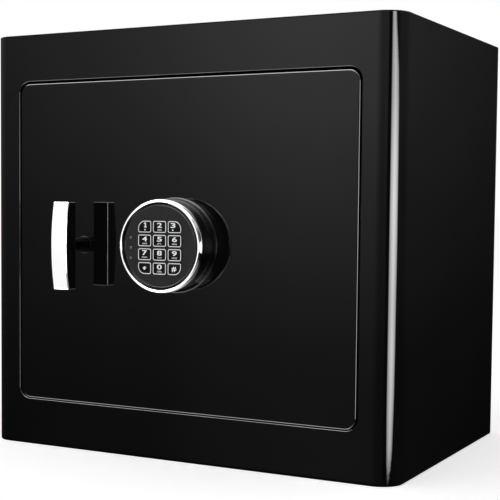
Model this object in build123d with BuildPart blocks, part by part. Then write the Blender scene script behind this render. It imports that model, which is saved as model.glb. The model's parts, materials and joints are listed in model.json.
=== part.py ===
from build123d import *
import math
import os

os.makedirs("parts", exist_ok=True)

# Compact fire safe with an inset door, a round electronic keypad and a
# quarter-turn bar handle.
# Frame: origin at the centre of the body's footprint on the floor, +X to the
# right seen from the front, the door faces -Y, +Z up. Millimetres.

# ---------------------------------------------------------------- dimensions
# body
BODY_W, BODY_D, BODY_H = 432.0, 300.0, 406.0
SHELL_T = 2.5
FRONT_R = 21.0          # front vertical corners
REAR_R = 10.0           # all edges around the back panel
EDGE_R = 1.2            # top and bottom edges of front and sides
Y_FRONT = -BODY_D / 2
MID_Z = BODY_H / 2

# door opening and the ring that lines it
OPEN_W, OPEN_H, OPEN_R = 363.0, 314.6, 12.0
FRAME_T = 6.0
FRAME_IN = 2.5          # frame starts behind the front sheet
STEP_Y = -92.0          # face of the inner step, where the seal sits
STEP_T = 3.0
CAV_W, CAV_H, CAV_R = 336.0, 288.0, 6.0
CAV_BACK = 118.0
LINER_T = 1.5
GAP_FILL = 0.3          # air between the cast insulation and its neighbours

# door
DOOR_GAP = 1.4          # at the hinge collar
GAP_LATCH, GAP_HINGE = 2.0, 1.7
GAP_TOP, GAP_BOTTOM = 2.2, 0.7   # the front plate hangs a little low
DOOR_W, DOOR_H = OPEN_W - GAP_LATCH - GAP_HINGE, OPEN_H - GAP_TOP - GAP_BOTTOM
DOOR_CX = (GAP_LATCH - GAP_HINGE) / 2
DOOR_CZ = MID_Z + (GAP_BOTTOM - GAP_TOP) / 2
DOOR_R = 10.6
DOOR_T = 4.0
DOOR_EDGE_R = 1.6
LIP_R = 0.6
PAN_W, PAN_H, PAN_R = 350.0, 302.0, 8.0
PAN_T = 2.0
PAN_FRONT = Y_FRONT + DOOR_T         # -146
BASE_FRONT = -130.0                  # front face of the pan's middle web
BASE_REAR = -128.0
PAN_REAR = -103.0
COVER_T = 1.5

# hinge: pins in the frame, bushes in the door
HINGE_X, HINGE_Y = 155.2, -140.5
PIN_R = 4.0
BUSH_BORE_R = 4.05
BUSH_R = 5.4
PIN_HEAD_R = 6.5

# handle
HANDLE_X, HANDLE_Z = -103.3, MID_Z - 1.9
BAR_W, BAR_L = 17.0, 82.0
BAR_BACK = Y_FRONT - 26.8
BAR_END = Y_FRONT - 39.2
BAR_MID = Y_FRONT - 43.4
STEM_R = 6.9
STEM_BORE_R = 6.95
SLEEVE_R = 7.9
ROSE_R, ROSE_T = 8.4, 1.6

# crank and boltwork
CRANK_R = 12.7          # pin radius from the handle axis
CRANK_PIN_R = 3.0
THROW = 18.0
BOLT_R = 10.0
BOLT_HOLE_R = 11.0
BOLT_Y = -115.5
BOLT_Z = (MID_Z - 93.0, MID_Z, MID_Z + 93.0)
BOLT_TIP = -176.5
GUIDE_X = -134.0
GUIDE_Z = (MID_Z - 63.0, MID_Z + 63.0)

# lock
LOCK_X0, LOCK_X1 = -64.0, -6.0
LOCK_Z0, LOCK_Z1 = MID_Z - 12.0, MID_Z + 40.0
SWING_X, SWING_Z = -52.0, MID_Z
SWING_L = 27.0
SWING_ANGLE = 80.0

# keypad
DIAL_X, DIAL_Z = -0.9, MID_Z
RING_OUT_R, RING_IN_R = 43.0, 40.2
RING_FRONT = Y_FRONT - 31.0
RING_REAR = Y_FRONT - 24.5
FACE_R = 37.5
FACE_FRONT = Y_FRONT - 29.4
KEY_W, KEY_H = 14.3, 11.1
KEY_PX, KEY_PZ = 15.75, 12.63
KEY_CX, KEY_CZ = DIAL_X + 0.3, DIAL_Z - 1.4
KEY_R, KEY_BIG_R = 2.0, 7.2
KEY_GAP = 0.3
KEY_FRONT = Y_FRONT - 30.3
KEY_REAR = Y_FRONT - 25.8
PCB_FRONT, PCB_REAR = -174.6, -173.0

# fixings
ANCHOR_R = 6.0
ANCHOR_X, ANCHOR_Y, ANCHOR_CY = 120.0, 70.0, 10.0
COVER_POSTS = [(-160, 65), (160, 65), (-160, 341), (160, 341), (0, 62), (0, 344)]
KEYPAD_SCREWS = [(DIAL_X, 236.0), (DIAL_X + 31.0, 212.0)]
CABLE_X, CABLE_Z, CABLE_R = DIAL_X + 12.0, 226.0, 1.5


def facing(y):
    """Plane parallel to the front, at y, whose normal points out of the door."""
    return Plane.XZ.offset(-y)


def shell_block(grow, label):
    """Body block with its rounded corners, its walls moved in by -grow."""
    with BuildPart() as block:
        with BuildSketch(Plane.XY.offset(-grow)):
            Rectangle(BODY_W + 2 * grow, BODY_D + 2 * grow)
        extrude(amount=BODY_H + 2 * grow)
        rear = block.faces().sort_by(Axis.Y)[-1]
        fillet(rear.edges(), REAR_R + grow)
        front = block.faces().sort_by(Axis.Y)[0]
        fillet(front.edges().filter_by(Axis.Z), FRONT_R + grow)
    block.part.label = label
    return block.part


def save(builder, name):
    builder.part.label = name
    export_step(builder.part, "parts/" + name + ".step")


# ------------------------------------------------------------------- body
outer_block = shell_block(0.0, "outer block")
hollow_block = shell_block(-SHELL_T, "hollow block")
cast_block = shell_block(-SHELL_T - GAP_FILL, "cast block")

with BuildPart() as outer_shell:
    add(outer_block)
    rim = outer_shell.edges().filter_by(
        lambda e: abs(e.center().Z - BODY_H) < 0.01 or abs(e.center().Z) < 0.01
    )
    fillet(
        [e for e in rim if e.center().Y < Y_FRONT + 0.01 and e.length > 300],
        EDGE_R,
    )
    add(hollow_block, mode=Mode.SUBTRACT)
    with BuildSketch(facing(Y_FRONT + SHELL_T + 1)):
        with Locations((0, MID_Z)):
            RectangleRounded(OPEN_W, OPEN_H, OPEN_R)
    extrude(amount=SHELL_T + 2, mode=Mode.SUBTRACT)
    lip = outer_shell.faces().filter_by(Axis.Y).sort_by(Axis.Y)[0].inner_wires()[0]
    fillet(lip.edges(), LIP_R)
    with BuildSketch(Plane.XY.offset(-1)):
        with Locations((0, ANCHOR_CY)):
            with GridLocations(2 * ANCHOR_X, 2 * ANCHOR_Y, 2, 2):
                Circle(ANCHOR_R)
    extrude(amount=SHELL_T + 2, mode=Mode.SUBTRACT)
save(outer_shell, "outer_shell")

FR_W, FR_H = OPEN_W + 2 * FRAME_T, OPEN_H + 2 * FRAME_T
with BuildPart() as door_frame:
    with BuildSketch(facing(STEP_Y)):
        with Locations((0, MID_Z)):
            RectangleRounded(FR_W, FR_H, OPEN_R + FRAME_T)
            RectangleRounded(OPEN_W, OPEN_H, OPEN_R, mode=Mode.SUBTRACT)
    extrude(amount=STEP_Y - (Y_FRONT + FRAME_IN))
    with BuildSketch(facing(STEP_Y + STEP_T)):
        with Locations((0, MID_Z)):
            RectangleRounded(FR_W, FR_H, OPEN_R + FRAME_T)
            RectangleRounded(CAV_W, CAV_H, CAV_R, mode=Mode.SUBTRACT)
    extrude(amount=STEP_T)
    with BuildSketch(Plane.YZ.offset(-FR_W / 2 - 1)):
        with Locations(*[(BOLT_Y, z) for z in BOLT_Z]):
            Circle(BOLT_HOLE_R)
    extrude(amount=FRAME_T + 2, mode=Mode.SUBTRACT)
    with BuildSketch(Plane.XY):
        with Locations((HINGE_X, HINGE_Y)):
            Circle(PIN_R + 0.02)
    extrude(amount=BODY_H, mode=Mode.SUBTRACT)
save(door_frame, "door_frame")

with BuildPart() as bolt_keeper:
    with BuildSketch(Plane.YZ.offset(-FR_W / 2 - 8.5)):
        with Locations((BOLT_Y, MID_Z)):
            RectangleRounded(25, 236, 3)
        with Locations(*[(BOLT_Y, z) for z in BOLT_Z]):
            Circle(BOLT_HOLE_R, mode=Mode.SUBTRACT)
    extrude(amount=8.5)
    chamfer(
        bolt_keeper.faces().sort_by(Axis.X)[0].outer_wire().edges(), 1.0
    )
save(bolt_keeper, "bolt_keeper")

with BuildPart() as inner_liner:
    with BuildSketch(facing(CAV_BACK + LINER_T)):
        with Locations((0, MID_Z)):
            RectangleRounded(CAV_W + 2 * LINER_T, CAV_H + 2 * LINER_T, CAV_R + LINER_T)
    extrude(amount=CAV_BACK + LINER_T - (STEP_Y + STEP_T))
    with BuildSketch(facing(CAV_BACK)):
        with Locations((0, MID_Z)):
            RectangleRounded(CAV_W, CAV_H, CAV_R)
    extrude(amount=CAV_BACK - (STEP_Y + STEP_T) + 1, mode=Mode.SUBTRACT)
    with BuildSketch(Plane.XY.offset(40)):
        with Locations((0, ANCHOR_CY)):
            with GridLocations(2 * ANCHOR_X, 2 * ANCHOR_Y, 2, 2):
                Circle(ANCHOR_R)
    extrude(amount=40, mode=Mode.SUBTRACT)
    with BuildSketch(Plane.YZ.offset(-CAV_W / 2 - 3)):
        with Locations((-60, MID_Z - 9), (90, MID_Z - 9)):
            Circle(2.55)
    extrude(amount=CAV_W + 6, mode=Mode.SUBTRACT)
save(inner_liner, "inner_liner")

with BuildPart() as body_insulation:
    add(cast_block)
    with BuildSketch(facing(STEP_Y + STEP_T + GAP_FILL)):
        with Locations((0, MID_Z)):
            RectangleRounded(FR_W + 2 * GAP_FILL, FR_H + 2 * GAP_FILL, OPEN_R + FRAME_T)
    extrude(amount=80, mode=Mode.SUBTRACT)
    with BuildSketch(facing(CAV_BACK + LINER_T + GAP_FILL)):
        with Locations((0, MID_Z)):
            RectangleRounded(
                CAV_W + 2 * LINER_T + 2 * GAP_FILL,
                CAV_H + 2 * LINER_T + 2 * GAP_FILL,
                CAV_R + LINER_T,
            )
    extrude(amount=220, mode=Mode.SUBTRACT)
    with BuildSketch(Plane.YZ.offset(-FR_W / 2 - 12)):
        with Locations((BOLT_Y, MID_Z)):
            Rectangle(25.8, 236.8)
    extrude(amount=20, mode=Mode.SUBTRACT)
    with BuildSketch(Plane.XY.offset(MID_Z - FR_H / 2 - 5)):
        with Locations((HINGE_X, HINGE_Y)):
            Circle(PIN_HEAD_R + 0.6)
    extrude(amount=FR_H + 10, mode=Mode.SUBTRACT)
    with BuildSketch(Plane.XY.offset(-1)):
        with Locations((0, ANCHOR_CY)):
            with GridLocations(2 * ANCHOR_X, 2 * ANCHOR_Y, 2, 2):
                Circle(ANCHOR_R)
    extrude(amount=80, mode=Mode.SUBTRACT)
    with BuildSketch(Plane.YZ.offset(-CAV_W / 2 - 6)):
        with Locations((-60, MID_Z - 9), (90, MID_Z - 9)):
            Circle(3.0)
    extrude(amount=CAV_W + 12, mode=Mode.SUBTRACT)
save(body_insulation, "body_insulation")

with BuildPart() as intumescent_seal:
    with BuildSketch(facing(STEP_Y)):
        with Locations((0, MID_Z)):
            RectangleRounded(356, 308, 10)
            RectangleRounded(342, 294, 6, mode=Mode.SUBTRACT)
    extrude(amount=3.0)
    front = intumescent_seal.faces().filter_by(Axis.Y).sort_by(Axis.Y)[0]
    fillet(front.edges(), 0.8)
save(intumescent_seal, "intumescent_seal")

with BuildPart() as hinge_pin_upper:
    with BuildSketch(Plane.XY.offset(MID_Z + FR_H / 2)):
        with Locations((HINGE_X, HINGE_Y)):
            Circle(PIN_HEAD_R)
    extrude(amount=3)
    with BuildSketch(Plane.XY.offset(342)):
        with Locations((HINGE_X, HINGE_Y)):
            Circle(PIN_R)
    extrude(amount=MID_Z + FR_H / 2 - 342)
    chamfer(hinge_pin_upper.faces().sort_by(Axis.Z)[0].edges(), 0.8)
save(hinge_pin_upper, "hinge_pin_upper")

with BuildPart() as hinge_pin_lower:
    with BuildSketch(Plane.XY.offset(MID_Z - FR_H / 2 - 3)):
        with Locations((HINGE_X, HINGE_Y)):
            Circle(PIN_HEAD_R)
    extrude(amount=3)
    with BuildSketch(Plane.XY.offset(MID_Z - FR_H / 2)):
        with Locations((HINGE_X, HINGE_Y)):
            Circle(PIN_R)
    extrude(amount=64 - (MID_Z - FR_H / 2))
    chamfer(hinge_pin_lower.faces().sort_by(Axis.Z)[-1].edges(), 0.8)
    # collar that carries the door's weight
    with BuildSketch(Plane.XY.offset(MID_Z - OPEN_H / 2)):
        with Locations((HINGE_X, HINGE_Y)):
            Circle(BUSH_R)
    extrude(amount=DOOR_GAP - 0.1)
save(hinge_pin_lower, "hinge_pin_lower")

SHELF_Z = MID_Z - 4.0
with BuildPart() as shelf:
    with BuildSketch(Plane.XY.offset(SHELF_Z)):
        with Locations((0, 15)):
            Rectangle(333.6, 202)
    extrude(amount=1.5)
    with BuildSketch(Plane.XY.offset(SHELF_Z - 12)):
        with Locations((0, 15 - 101 + 0.75), (0, 15 + 101 - 0.75)):
            Rectangle(333.6, 1.5)
    extrude(amount=12)
    fillet(shelf.edges().filter_by(Axis.X).group_by(Axis.Z)[-1], 0.7)
save(shelf, "shelf")

with BuildPart() as shelf_pins:
    for side in (-1, 1):
        x_wall = side * CAV_W / 2
        with BuildSketch(Plane.YZ.offset(min(x_wall, x_wall - side * 8))):
            with Locations((-60, SHELF_Z - 5), (90, SHELF_Z - 5)):
                Circle(5)
        extrude(amount=8)
        with BuildSketch(Plane.YZ.offset(min(x_wall, x_wall + side * 3.5))):
            with Locations((-60, SHELF_Z - 5), (90, SHELF_Z - 5)):
                Circle(2.5)
        extrude(amount=3.5)
save(shelf_pins, "shelf_pins")

with BuildPart() as floor_mat:
    with BuildSketch(Plane.XY.offset(MID_Z - CAV_H / 2)):
        with Locations((0, 15)):
            RectangleRounded(324, 200, 8)
        with Locations((0, ANCHOR_CY)):
            with GridLocations(2 * ANCHOR_X, 2 * ANCHOR_Y, 2, 2):
                Circle(ANCHOR_R, mode=Mode.SUBTRACT)
    extrude(amount=2)
save(floor_mat, "floor_mat")

# ------------------------------------------------------------------- door
with BuildPart() as door_plate:
    with BuildSketch(facing(PAN_FRONT)):
        with Locations((DOOR_CX, DOOR_CZ)):
            RectangleRounded(DOOR_W, DOOR_H, DOOR_R)
        with Locations((HANDLE_X, HANDLE_Z)):
            Circle(SLEEVE_R + 0.1, mode=Mode.SUBTRACT)
        with Locations((CABLE_X, CABLE_Z)):
            Circle(3.5, mode=Mode.SUBTRACT)
        with Locations(*KEYPAD_SCREWS):
            Circle(2.1, mode=Mode.SUBTRACT)
    extrude(amount=DOOR_T)
    front = door_plate.faces().sort_by(Axis.Y)[0]
    fillet(front.outer_wire().edges(), DOOR_EDGE_R)
save(door_plate, "door_plate")

with BuildPart() as door_chassis:
    with BuildSketch(facing(PAN_REAR)):
        with Locations((0, MID_Z)):
            RectangleRounded(PAN_W, PAN_H, PAN_R)
    extrude(amount=PAN_REAR - PAN_FRONT)
    with BuildSketch(facing(PAN_REAR)):
        with Locations((0, MID_Z)):
            RectangleRounded(PAN_W - 2 * PAN_T, PAN_H - 2 * PAN_T, PAN_R - PAN_T)
    extrude(amount=PAN_REAR - BASE_REAR, mode=Mode.SUBTRACT)
    with BuildSketch(facing(BASE_FRONT)):
        with Locations((0, MID_Z)):
            RectangleRounded(PAN_W - 2 * PAN_T, PAN_H - 2 * PAN_T, PAN_R - PAN_T)
    extrude(amount=BASE_FRONT - PAN_FRONT, mode=Mode.SUBTRACT)
    # cover posts
    with BuildSketch(facing(PAN_REAR)):
        with Locations(*COVER_POSTS):
            Circle(4.5)
    extrude(amount=PAN_REAR - BASE_REAR)
    with BuildSketch(facing(PAN_REAR)):
        with Locations(*COVER_POSTS):
            Circle(2.0)
    extrude(amount=14, mode=Mode.SUBTRACT)
    # hinge lugs
    with BuildSketch(facing(BASE_FRONT)):
        with Locations((159, MID_Z + PAN_H / 2 - PAN_T - 7), (159, MID_Z - PAN_H / 2 + PAN_T + 7)):
            Rectangle(28, 14)
    extrude(amount=BASE_FRONT - PAN_FRONT)
    with BuildSketch(Plane.XY.offset(MID_Z + PAN_H / 2 - 20)):
        with Locations((HINGE_X, HINGE_Y)):
            Circle(BUSH_R + 0.02)
    extrude(amount=22, mode=Mode.SUBTRACT)
    with BuildSketch(Plane.XY.offset(MID_Z - PAN_H / 2 - 2)):
        with Locations((HINGE_X, HINGE_Y)):
            Circle(BUSH_R + 0.02)
    extrude(amount=22, mode=Mode.SUBTRACT)
    # bolt holes in the closing edge
    with BuildSketch(Plane.YZ.offset(-PAN_W / 2 - 1)):
        with Locations(*[(BOLT_Y, z) for z in BOLT_Z]):
            Circle(BOLT_R + 0.4)
    extrude(amount=PAN_T + 2, mode=Mode.SUBTRACT)
    # holes through the middle web
    with BuildSketch(facing(BASE_REAR + 0.5)):
        with Locations((HANDLE_X, HANDLE_Z)):
            Circle(SLEEVE_R + 0.1)
        with Locations((CABLE_X, CABLE_Z)):
            Circle(3.5)
        with Locations(*KEYPAD_SCREWS):
            Circle(2.1)
    extrude(amount=3, mode=Mode.SUBTRACT)
save(door_chassis, "door_chassis")

with BuildPart() as door_insulation:
    with BuildSketch(facing(BASE_FRONT - 0.1)):
        with Locations((0, MID_Z)):
            RectangleRounded(PAN_W - 2 * PAN_T - 0.6, PAN_H - 2 * PAN_T - 0.6, PAN_R - PAN_T)
        with Locations((159, MID_Z + PAN_H / 2 - PAN_T - 7), (159, MID_Z - PAN_H / 2 + PAN_T + 7)):
            Rectangle(29, 22, mode=Mode.SUBTRACT)
        with Locations((HANDLE_X, HANDLE_Z)):
            Circle(SLEEVE_R + 0.5, mode=Mode.SUBTRACT)
        with Locations((CABLE_X, CABLE_Z)):
            Circle(3.5, mode=Mode.SUBTRACT)
        with Locations(*KEYPAD_SCREWS):
            Circle(2.6, mode=Mode.SUBTRACT)
    extrude(amount=BASE_FRONT - PAN_FRONT - 0.2)
save(door_insulation, "door_insulation")

with BuildPart() as door_rear_cover:
    with BuildSketch(facing(PAN_REAR + COVER_T)):
        with Locations((0, MID_Z)):
            RectangleRounded(PAN_W - 2, PAN_H - 2, PAN_R - 1)
        with Locations(*COVER_POSTS):
            Circle(2.2, mode=Mode.SUBTRACT)
    extrude(amount=COVER_T)
    rear = door_rear_cover.faces().filter_by(Axis.Y).sort_by(Axis.Y)[-1]
    fillet(rear.outer_wire().edges(), 0.7)
save(door_rear_cover, "door_rear_cover")

with BuildPart() as rear_cover_screws:
    with BuildSketch(facing(PAN_REAR + COVER_T)):
        with Locations(*COVER_POSTS):
            Circle(1.95)
    extrude(amount=12)
    with BuildSketch(facing(PAN_REAR + COVER_T + 2.0)):
        with Locations(*COVER_POSTS):
            Circle(3.6)
    extrude(amount=2.0)
    tops = rear_cover_screws.faces().filter_by(Axis.Y).group_by(Axis.Y)[-1]
    fillet(tops.edges(), 1.0)
    with BuildSketch(facing(PAN_REAR + COVER_T + 2.0)):
        with Locations(*COVER_POSTS):
            Rectangle(3.4, 0.8)
            Rectangle(0.8, 3.4)
    extrude(amount=1.0, mode=Mode.SUBTRACT)
save(rear_cover_screws, "rear_cover_screws")

with BuildPart() as hinge_bush_upper:
    with BuildSketch(Plane.XY.offset(MID_Z + DOOR_H / 2 - 20)):
        with Locations((HINGE_X, HINGE_Y)):
            Circle(BUSH_R)
            Circle(BUSH_BORE_R, mode=Mode.SUBTRACT)
    extrude(amount=20)
save(hinge_bush_upper, "hinge_bush_upper")

with BuildPart() as hinge_bush_lower:
    with BuildSketch(Plane.XY.offset(MID_Z - DOOR_H / 2)):
        with Locations((HINGE_X, HINGE_Y)):
            Circle(BUSH_R)
            Circle(BUSH_BORE_R, mode=Mode.SUBTRACT)
    extrude(amount=20)
save(hinge_bush_lower, "hinge_bush_lower")

SLEEVE_END = BASE_REAR + 3.6
with BuildPart() as handle_bush:
    with BuildSketch(facing(SLEEVE_END)):
        with Locations((HANDLE_X, HANDLE_Z)):
            Circle(SLEEVE_R)
    extrude(amount=SLEEVE_END - Y_FRONT)
    with BuildSketch(facing(Y_FRONT)):
        with Locations((HANDLE_X, HANDLE_Z)):
            Circle(ROSE_R)
    extrude(amount=ROSE_T)
    front = handle_bush.faces().sort_by(Axis.Y)[0]
    fillet(front.edges(), 0.9)
    with BuildSketch(facing(SLEEVE_END + 1)):
        with Locations((HANDLE_X, HANDLE_Z)):
            Circle(STEM_BORE_R)
    extrude(amount=40, mode=Mode.SUBTRACT)
save(handle_bush, "handle_bush")

with BuildPart() as handle_bush_nut:
    with BuildSketch(facing(BASE_REAR + 3.2)):
        with Locations((HANDLE_X, HANDLE_Z)):
            RegularPolygon(13.5, 6)
            Circle(SLEEVE_R + 0.02, mode=Mode.SUBTRACT)
    extrude(amount=3.2)
save(handle_bush_nut, "handle_bush_nut")

with BuildPart() as bolt_guide_posts:
    guides = [(GUIDE_X, z) for z in GUIDE_Z]
    with BuildSketch(facing(-116.4)):
        with Locations(*guides):
            Circle(6.5)
    extrude(amount=-116.4 - BASE_REAR)
    with BuildSketch(facing(-111.6)):
        with Locations(*guides):
            Circle(4.0)
    extrude(amount=4.8)
    with BuildSketch(facing(-109.6)):
        with Locations(*guides):
            Circle(7.5)
    extrude(amount=2.0)
save(bolt_guide_posts, "bolt_guide_posts")

# ----------------------------------------------------------------- handle
with BuildPart() as handle_bar:
    with BuildSketch(Plane.YZ.offset(HANDLE_X - BAR_W / 2)):
        with BuildLine():
            z0, z1 = HANDLE_Z - BAR_L / 2, HANDLE_Z + BAR_L / 2
            Polyline((BAR_END, z0), (BAR_BACK, z0), (BAR_BACK, z1), (BAR_END, z1))
            ThreePointArc((BAR_END, z1), (BAR_MID, HANDLE_Z), (BAR_END, z0))
        make_face()
    extrude(amount=BAR_W)
    fillet(handle_bar.edges().filter_by(Axis.X), 1.2)
    sides = handle_bar.faces().filter_by(Axis.X)
    fillet(sides.edges(), 0.8)
save(handle_bar, "handle_bar")

CRANK_FRONT, CRANK_REAR = -124.0, -119.5
with BuildPart() as handle_stem:
    with BuildSketch(facing(CRANK_FRONT)):
        with Locations((HANDLE_X, HANDLE_Z)):
            Circle(STEM_R)
    extrude(amount=CRANK_FRONT - BAR_BACK)
    with BuildSketch(facing(CRANK_REAR)):
        with Locations((HANDLE_X, HANDLE_Z)):
            Circle(5.0)
    extrude(amount=CRANK_REAR - CRANK_FRONT)
    with BuildSketch(facing(CRANK_REAR)):
        with Locations((HANDLE_X, HANDLE_Z)):
            Circle(2.05)
    extrude(amount=14, mode=Mode.SUBTRACT)
save(handle_stem, "handle_stem")

PIN_DX = CRANK_R * math.cos(math.radians(45))
PIN_X, PIN_Z = HANDLE_X + PIN_DX, HANDLE_Z - PIN_DX
with BuildPart() as crank_arm:
    with BuildSketch(facing(CRANK_REAR)):
        with Locations((HANDLE_X, HANDLE_Z)):
            Circle(11)
        with Locations((PIN_X, PIN_Z)):
            Circle(6)
        make_hull()
        with Locations((HANDLE_X, HANDLE_Z)):
            Circle(5.02, mode=Mode.SUBTRACT)
    extrude(amount=CRANK_REAR - CRANK_FRONT)
    with BuildSketch(facing(-110.5)):
        with Locations((PIN_X, PIN_Z)):
            Circle(CRANK_PIN_R)
    extrude(amount=-110.5 - CRANK_REAR)
save(crank_arm, "crank_arm")

with BuildPart() as crank_screw:
    with BuildSketch(facing(CRANK_REAR + 2.2)):
        with Locations((HANDLE_X, HANDLE_Z)):
            Circle(6.0)
    extrude(amount=2.2)
    fillet(crank_screw.faces().sort_by(Axis.Y)[-1].edges(), 0.8)
    with BuildSketch(facing(CRANK_REAR)):
        with Locations((HANDLE_X, HANDLE_Z)):
            Circle(2.0)
    extrude(amount=12)
save(crank_screw, "crank_screw")

# --------------------------------------------------------------- boltwork
WEB_FRONT, WEB_REAR = -116.0, -112.0
FLANGE_X0, FLANGE_X1 = -152.0, -148.0
with BuildPart() as bolt_bar:
    with BuildSketch(Plane.YZ.offset(FLANGE_X0)):
        with Locations((-115, MID_Z)):
            Rectangle(18, 216)
        with Locations(*[(BOLT_Y, z) for z in BOLT_Z]):
            Circle(3.05, mode=Mode.SUBTRACT)
    extrude(amount=FLANGE_X1 - FLANGE_X0)
    with BuildSketch(facing(WEB_REAR)):
        with Locations(((FLANGE_X1 - 104) / 2, MID_Z)):
            Rectangle(-104 - FLANGE_X1, 206)
        with Locations((-88, MID_Z - 5)):
            Rectangle(32, 36)
        with Locations(*[(FLANGE_X1 + 3.5, z) for z in BOLT_Z]):
            Rectangle(7, 14, mode=Mode.SUBTRACT)
        with Locations(*[(GUIDE_X + THROW / 2, z) for z in GUIDE_Z]):
            SlotCenterToCenter(THROW + 1, 8.6, mode=Mode.SUBTRACT)
        with Locations((PIN_X, HANDLE_Z - 10.75)):
            SlotCenterToCenter(7.5, 2 * CRANK_PIN_R + 1.0, rotation=90, mode=Mode.SUBTRACT)
    extrude(amount=WEB_REAR - WEB_FRONT)
save(bolt_bar, "bolt_bar")

with BuildPart() as locking_bolts:
    with BuildSketch(Plane.YZ.offset(BOLT_TIP)):
        with Locations(*[(BOLT_Y, z) for z in BOLT_Z]):
            Circle(BOLT_R)
    extrude(amount=FLANGE_X0 - BOLT_TIP)
    chamfer(locking_bolts.faces().group_by(Axis.X)[0].edges(), 1.5)
    with BuildSketch(Plane.YZ.offset(FLANGE_X0 - 13)):
        with Locations(*[(BOLT_Y, z) for z in BOLT_Z]):
            Circle(3.0)
    extrude(amount=14, mode=Mode.SUBTRACT)
save(locking_bolts, "locking_bolts")

with BuildPart() as bolt_screws:
    with BuildSketch(Plane.YZ.offset(FLANGE_X0 - 11)):
        with Locations(*[(BOLT_Y, z) for z in BOLT_Z]):
            Circle(2.95)
    extrude(amount=FLANGE_X1 - FLANGE_X0 + 11)
    with BuildSketch(Plane.YZ.offset(FLANGE_X1)):
        with Locations(*[(BOLT_Y, z) for z in BOLT_Z]):
            RegularPolygon(5.5, 6)
    extrude(amount=3.5)
save(bolt_screws, "bolt_screws")

# ------------------------------------------------------------------- lock
CASE_REAR = -108.5
LOCK_CX, LOCK_CZ = (LOCK_X0 + LOCK_X1) / 2, (LOCK_Z0 + LOCK_Z1) / 2
LOCK_W, LOCK_H = LOCK_X1 - LOCK_X0, LOCK_Z1 - LOCK_Z0
LOCK_POSTS = [(-11.5, LOCK_Z0 + 5.5), (-11.5, LOCK_Z1 - 5.5), (-36.0, LOCK_Z1 - 5.5)]
with BuildPart() as lock_case:
    with BuildSketch(facing(CASE_REAR)):
        with Locations((LOCK_CX, LOCK_CZ)):
            RectangleRounded(LOCK_W, LOCK_H, 3)
    extrude(amount=CASE_REAR - BASE_REAR)
    with BuildSketch(facing(CASE_REAR)):
        with Locations((LOCK_CX, LOCK_CZ)):
            Rectangle(LOCK_W - 5, LOCK_H - 5)
    extrude(amount=17, mode=Mode.SUBTRACT)
    # mouth for the swing bolt in the left wall
    with BuildSketch(Plane.YZ.offset(LOCK_X0 - 1)):
        with Locations((-116.5, MID_Z + 14)):
            Rectangle(14, 44)
    extrude(amount=4.5, mode=Mode.SUBTRACT)
    with BuildSketch(facing(CASE_REAR)):
        with Locations(*LOCK_POSTS):
            Circle(3.4)
            Circle(1.3, mode=Mode.SUBTRACT)
    extrude(amount=17)
save(lock_case, "lock_case")

with BuildPart() as lock_cover:
    with BuildSketch(facing(CASE_REAR + 2)):
        with Locations((LOCK_CX, LOCK_CZ)):
            RectangleRounded(LOCK_W, LOCK_H, 3)
        with Locations(*LOCK_POSTS):
            Circle(1.6, mode=Mode.SUBTRACT)
    extrude(amount=2)
save(lock_cover, "lock_cover")

with BuildPart() as lock_screws:
    with BuildSketch(facing(CASE_REAR + 2)):
        with Locations(*LOCK_POSTS):
            Circle(1.25)
    extrude(amount=14)
    with BuildSketch(facing(CASE_REAR + 3.6)):
        with Locations(*LOCK_POSTS):
            Circle(2.8)
    extrude(amount=1.6)
save(lock_screws, "lock_screws")

with BuildPart() as lock_pivot_pin:
    with BuildSketch(facing(CASE_REAR - 0.1)):
        with Locations((SWING_X, SWING_Z)):
            Circle(3.0)
    extrude(amount=16.8)
save(lock_pivot_pin, "lock_pivot_pin")

with BuildPart() as swing_bolt:
    a = math.radians(SWING_ANGLE)
    with BuildSketch(facing(-111)):
        with Locations((SWING_X, SWING_Z)):
            Circle(6)
        with Locations((SWING_X - SWING_L * math.cos(a), SWING_Z + SWING_L * math.sin(a))):
            Circle(5)
        make_hull()
        with Locations((SWING_X, SWING_Z)):
            Circle(3.05, mode=Mode.SUBTRACT)
    extrude(amount=11)
save(swing_bolt, "swing_bolt")

with BuildPart() as lock_motor:
    with BuildSketch(Plane.YZ.offset(-38)):
        with Locations((-117, MID_Z + 14)):
            Circle(7)
    extrude(amount=24)
    with BuildSketch(Plane.YZ.offset(-43)):
        with Locations((-117, MID_Z + 14)):
            Circle(1.5)
    extrude(amount=5)
save(lock_motor, "lock_motor")

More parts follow.
